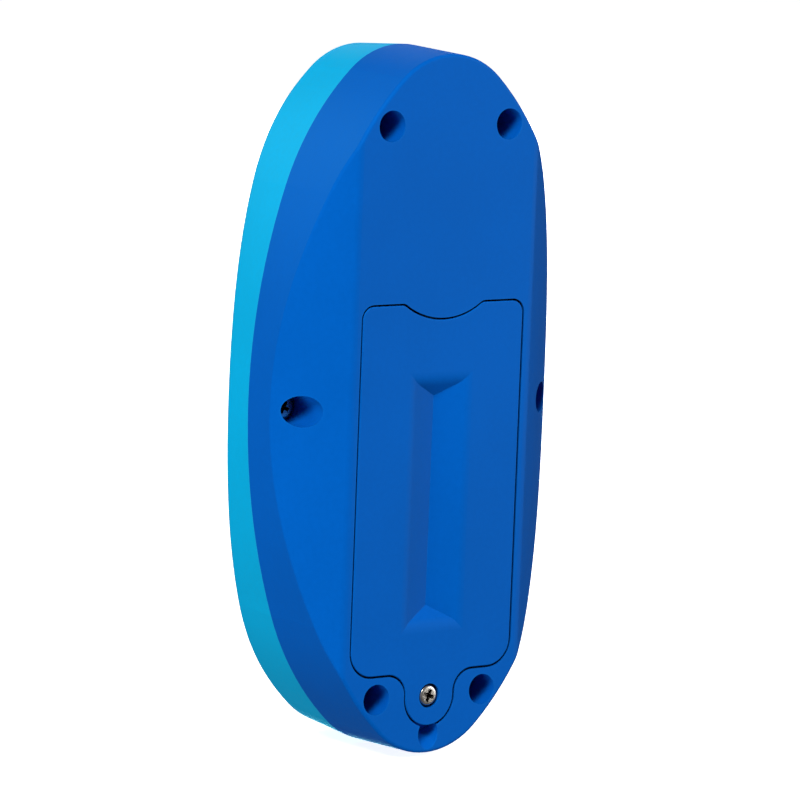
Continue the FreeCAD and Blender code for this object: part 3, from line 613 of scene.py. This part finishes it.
# A conical compression spring: a ring of wire wound up by a Screw modifier, then tapered.
def makeSpring(node, up, settings):
    low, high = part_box(node)
    wire = settings["wire"]
    length = high[2] - low[2] - 2 * wire
    radius = (high[0] - low[0]) / 2 - wire
    spring = begin(node + "_coil", bpy.ops.mesh.primitive_circle_add, vertices=settings["sides"],
                   radius=wire, location=(radius, 0.0, -length / 2), rotation=(math.pi / 2, 0.0, 0.0))
    settle(spring)
    winding = spring.modifiers.new("winding", "SCREW")
    winding.angle = 2 * math.pi * settings["turns"]
    winding.screw_offset = length
    winding.steps = int(settings["steps"] * settings["turns"])
    winding.render_steps = winding.steps
    applyAll(spring)
    alone(spring)
    bpy.ops.object.mode_set(mode="EDIT")
    bpy.ops.mesh.select_mode(type="EDGE")
    bpy.ops.mesh.select_all(action="DESELECT")
    bpy.ops.mesh.select_non_manifold()
    bpy.ops.mesh.edge_face_add()
    bpy.ops.mesh.select_all(action="SELECT")
    bpy.ops.mesh.normals_make_consistent(inside=False)
    close()
    narrowing = spring.modifiers.new("narrowing", "SIMPLE_DEFORM")
    narrowing.deform_method = "TAPER"
    narrowing.deform_axis = "Z"
    narrowing.factor = 2.0 * (settings["tipShare"] - 1.0) / (settings["tipShare"] + 1.0)
    applyAll(spring)
    widest = max(spring.dimensions.x, spring.dimensions.y)
    grow = 2 * (radius + wire) / widest
    spring.scale = (grow, grow, 1.0)
    spring.rotation_euler = (0.0 if up else math.pi, 0.0, 0.0)
    spring.location = [(lowest + highest) / 2 for lowest, highest in zip(low, high)]
    settle(spring)
    bpy.ops.object.shade_smooth_by_angle(angle=math.radians(50.0))
    dress(spring, bright, "root", "contact_nickel", node)


makeSpring("spring_left", True, springSettings)
makeSpring("spring_right", False, springSettings)
print("springs done")

legendSettings = {"depth": 0.00012, "sink": 0.00004, "size": 0.0062, "bevel": 0.00003}


# A raised mark that faces out of the front.
def makeMark(name, text, size, x, y, z, material, body, slot):
    mark = begin(name, bpy.ops.object.text_add)
    mark.data.body = text
    mark.data.size = size
    mark.data.align_x = "CENTER"
    mark.data.align_y = "CENTER"
    mark.data.extrude = legendSettings["depth"]
    mark.data.bevel_depth = legendSettings["bevel"]
    alone(mark)
    bpy.ops.object.convert(target="MESH")
    bpy.ops.object.origin_set(type="ORIGIN_GEOMETRY", center="BOUNDS")
    mark.rotation_euler = (math.pi / 2, 0.0, math.pi)
    mark.location = (x, y, z)
    settle(mark)
    dress(mark, material, body, slot)
    return mark


whitePrint = mouldedPlastic("whitePrint", variant(
    colour=(0.86, 0.87, 0.88), specularTint=(1.0, 1.0, 1.0), wornColour=(0.7, 0.7, 0.7)))
legends = {"key_" + str(digit): str(digit) for digit in range(10)}
legends.update({"key_hint": "?", "key_clear": "\u00d7", "key_enter": "=", "key_mode": "+"})


def makeLegends():
    for node, text in legends.items():
        low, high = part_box(node)
        makeMark(node + "_legend", text, legendSettings["size"], (low[0] + high[0]) / 2,
                 high[1] - legendSettings["sink"], (low[2] + high[2]) / 2, whitePrint, node,
                 slotOf[node])


makeLegends()

powerSettings = {"radius": 0.0019, "line": 0.00042, "gap": 0.75, "bar": 0.0021, "barRise": 0.75}


# The power mark: an open ring with a short bar in its gap.
def makePowerMark(settings):
    low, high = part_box("key_power")
    place = ((low[0] + high[0]) / 2, high[1] - legendSettings["sink"], (low[2] + high[2]) / 2)
    ring = begin("powerRing", bpy.ops.mesh.primitive_circle_add, vertices=48,
                 radius=settings["radius"], rotation=(math.pi / 2, 0.0, 0.0))
    settle(ring)
    choose(ring, "VERT", lambda vertex: vertex.co.z > settings["radius"] * settings["gap"])
    bpy.ops.mesh.delete(type="VERT")
    close()
    choose(ring, "EDGE", lambda edge: True)
    share = 1.0 - settings["line"] / settings["radius"]
    bpy.ops.mesh.extrude_edges_move()
    bpy.ops.transform.resize(value=(share, 1.0, share))
    close()
    bar = begin("powerBar", bpy.ops.mesh.primitive_plane_add, size=1.0, rotation=(math.pi / 2, 0.0, 0.0))
    bar.scale = (settings["line"], settings["bar"], 1.0)
    bar.location = (0.0, 0.0, settings["radius"] * settings["barRise"])
    settle(bar)
    mark = join("key_power_legend", [ring, bar])
    mark.location = place
    settle(mark)
    thick = mark.modifiers.new("thick", "SOLIDIFY")
    thick.thickness = legendSettings["depth"] * 2
    thick.offset = 0.0
    applyAll(mark)
    choose(mark, "FACE", lambda face: True)
    bpy.ops.mesh.normals_make_consistent(inside=False)
    close()
    dress(mark, whitePrint, "key_power", slotOf["key_power"])


makePowerMark(powerSettings)
print("key legends done")

digitSettings = {"height": 0.0105, "width": 0.0056, "line": 0.00105, "gap": 0.00018, "thick": 0.00006,
                 "pitch": 0.0078, "show": "12"}
darkInk = mouldedPlastic("darkInk", variant(
    colour=(0.03, 0.035, 0.03), specularTint=(1.0, 1.0, 1.0), wornColour=(0.05, 0.05, 0.05)))
# Which of the seven bars of a digit are dark: top, upper left, upper right, middle, lower left,
# lower right and bottom.
litBars = {"1": "0010010", "2": "1011101"}


# One bar of a digit, pointed at both ends, lying in XZ.
def makeBar(x, z, length, upright, settings):
    bar = begin("bar", bpy.ops.mesh.primitive_cube_add, size=1.0)
    bar.scale = (length - 2 * settings["gap"], settings["thick"], settings["line"])
    settle(bar)
    choose(bar, "EDGE", lambda edge: abs(
        bar.data.vertices[edge.vertices[0]].co.y - bar.data.vertices[edge.vertices[1]].co.y) > 0.00001)
    bpy.ops.mesh.bevel(offset=settings["line"] * 0.499, segments=1, affect="EDGES")
    close()
    bar.rotation_euler = (0.0, math.pi / 2 if upright else 0.0, 0.0)
    bar.location = (x, 0.0, z)
    settle(bar)
    return bar


def makeDigits(settings):
    low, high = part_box("display_glass")
    bars = []
    half, quarter = settings["width"] / 2, settings["height"] / 4
    spots = [(0.0, 2 * quarter, False), (half, quarter, True), (-half, quarter, True), (0.0, 0.0, False),
             (half, -quarter, True), (-half, -quarter, True), (0.0, -2 * quarter, False)]
    for place, digit in enumerate(settings["show"]):
        x = -(place - (len(settings["show"]) - 1) / 2) * settings["pitch"]
        for lit, (barX, barZ, upright) in zip(litBars[digit], spots):
            if lit == "1":
                length = 2 * quarter if upright else settings["width"]
                bars.append(makeBar(x + barX, barZ, length, upright, settings))
    digits = join("display_digits", bars)
    digits.location = (0.0, high[1] + settings["thick"] / 2, (low[2] + high[2]) / 2)
    settle(digits)
    dress(digits, darkInk, "root", slotOf["display_frame"])


makeDigits(digitSettings)
print("display digits done")

# Camera, at the height and turn from which the back and its left side are both seen.
cameraSettings = {
    "yaw": 35.609, "pitch": 7.933, "roll": 2.158, "distance": 1.0622,
    "lens": 215.09, "shiftX": 0.01427, "shiftY": -0.00628,
}


def makeCamera(settings):
    yaw, pitch, roll = [math.radians(settings[key]) for key in ("yaw", "pitch", "roll")]
    out = Vector((-math.sin(yaw) * math.cos(pitch), -math.cos(yaw) * math.cos(pitch), math.sin(pitch)))
    level = Vector((math.cos(yaw), -math.sin(yaw), 0.0))
    upright = out.cross(level)
    right = level * math.cos(roll) + upright * math.sin(roll)
    up = upright * math.cos(roll) - level * math.sin(roll)
    data = bpy.data.cameras.new("camera")
    data.lens = settings["lens"]
    data.sensor_width = 36.0
    data.shift_x = settings["shiftX"]
    data.shift_y = settings["shiftY"]
    data.clip_start = 0.05
    data.clip_end = 100.0
    camera = bpy.data.objects.new("camera", data)
    bpy.context.scene.collection.objects.link(camera)
    middle = Vector((0.0, seamY, 0.0))
    turn = Matrix((right, up, out)).transposed().to_4x4()
    camera.matrix_world = Matrix.Translation(middle + out * settings["distance"]) @ turn
    bpy.context.scene.camera = camera


makeCamera(cameraSettings)

# Soft studio light. Each place is in metres, in the object's own frame.
lightSettings = {
    "key": {"place": (-0.88, -0.8, 1.07), "size": 0.5, "power": 25.0},
    "fill": {"place": (1.25, -0.95, 0.25), "size": 1.1, "power": 12.5},
    "bounce": {"place": (-1.0, -0.25, -0.8), "size": 0.8, "power": 8.5, "glossy": False},
    "sheen": {"place": (-0.6, 1.29, 0.67), "size": 0.7, "power": 8.0, "diffuse": False,
              "colour": (0.2, 0.85, 1.0)},
    "edge": {"place": (0.95, 1.25, -0.45), "size": 0.5, "power": 14.0, "diffuse": False,
             "colour": (0.3, 0.9, 1.0)},
    "front": {"place": (0.9, 1.25, 0.7), "size": 1.2, "power": 24.0, "glossy": False},
}


def makeLight(name, settings):
    data = bpy.data.lights.new(name, "AREA")
    data.shape = "SQUARE"
    data.size = settings["size"]
    data.energy = settings["power"]
    lamp = bpy.data.objects.new(name, data)
    bpy.context.scene.collection.objects.link(lamp)
    lamp.location = Vector(settings["place"])
    lamp.rotation_euler = lamp.location.to_track_quat("Z", "Y").to_euler()
    data.color = settings.get("colour", (1.0, 1.0, 1.0))
    lamp.visible_diffuse = settings.get("diffuse", True)
    lamp.visible_glossy = settings.get("glossy", True)


for name, settings in lightSettings.items():
    makeLight(name, settings)


def makeWorld(seen, given):
    world = bpy.data.worlds.new("studio")
    world.use_nodes = True
    tree = world.node_tree
    tree.nodes.clear()
    output = tree.nodes.new("ShaderNodeOutputWorld")
    mix = tree.nodes.new("ShaderNodeMixShader")
    path = tree.nodes.new("ShaderNodeLightPath")
    for index, strength in ((1, given), (2, seen)):
        background = tree.nodes.new("ShaderNodeBackground")
        background.inputs["Color"].default_value = (1.0, 1.0, 1.0, 1.0)
        background.inputs["Strength"].default_value = strength
        tree.links.new(background.outputs[0], mix.inputs[index])
    tree.links.new(path.outputs["Is Camera Ray"], mix.inputs[0])
    tree.links.new(mix.outputs[0], output.inputs[0])
    bpy.context.scene.world = world


makeWorld(seen=1.0, given=0.1)


def makeFloor():
    bpy.ops.object.select_all(action="DESELECT")
    bpy.ops.mesh.primitive_plane_add(size=40.0, location=(0.0, 0.0, cadLow[2] - 0.0002))
    floor = bpy.context.object
    floor.name = "floor"
    shader = Shader("floorPale", {
        "Roughness": 0.8, "Specular IOR Level": 0.1,
        "Emission Color": (1.0, 1.0, 1.0, 1.0), "Emission Strength": 0.88,
    })
    soft = shader.noise(3.0, 2.0)
    shader.feed("Base Color", shader.blend(soft, (0.93, 0.93, 0.93, 1.0), (0.97, 0.97, 0.97, 1.0)))
    floor.data.materials.append(shader.material)
    floor.visible_diffuse = False
    floor.visible_glossy = False
    floor.visible_shadow = False


makeFloor()
print("camera, lights and floor done")
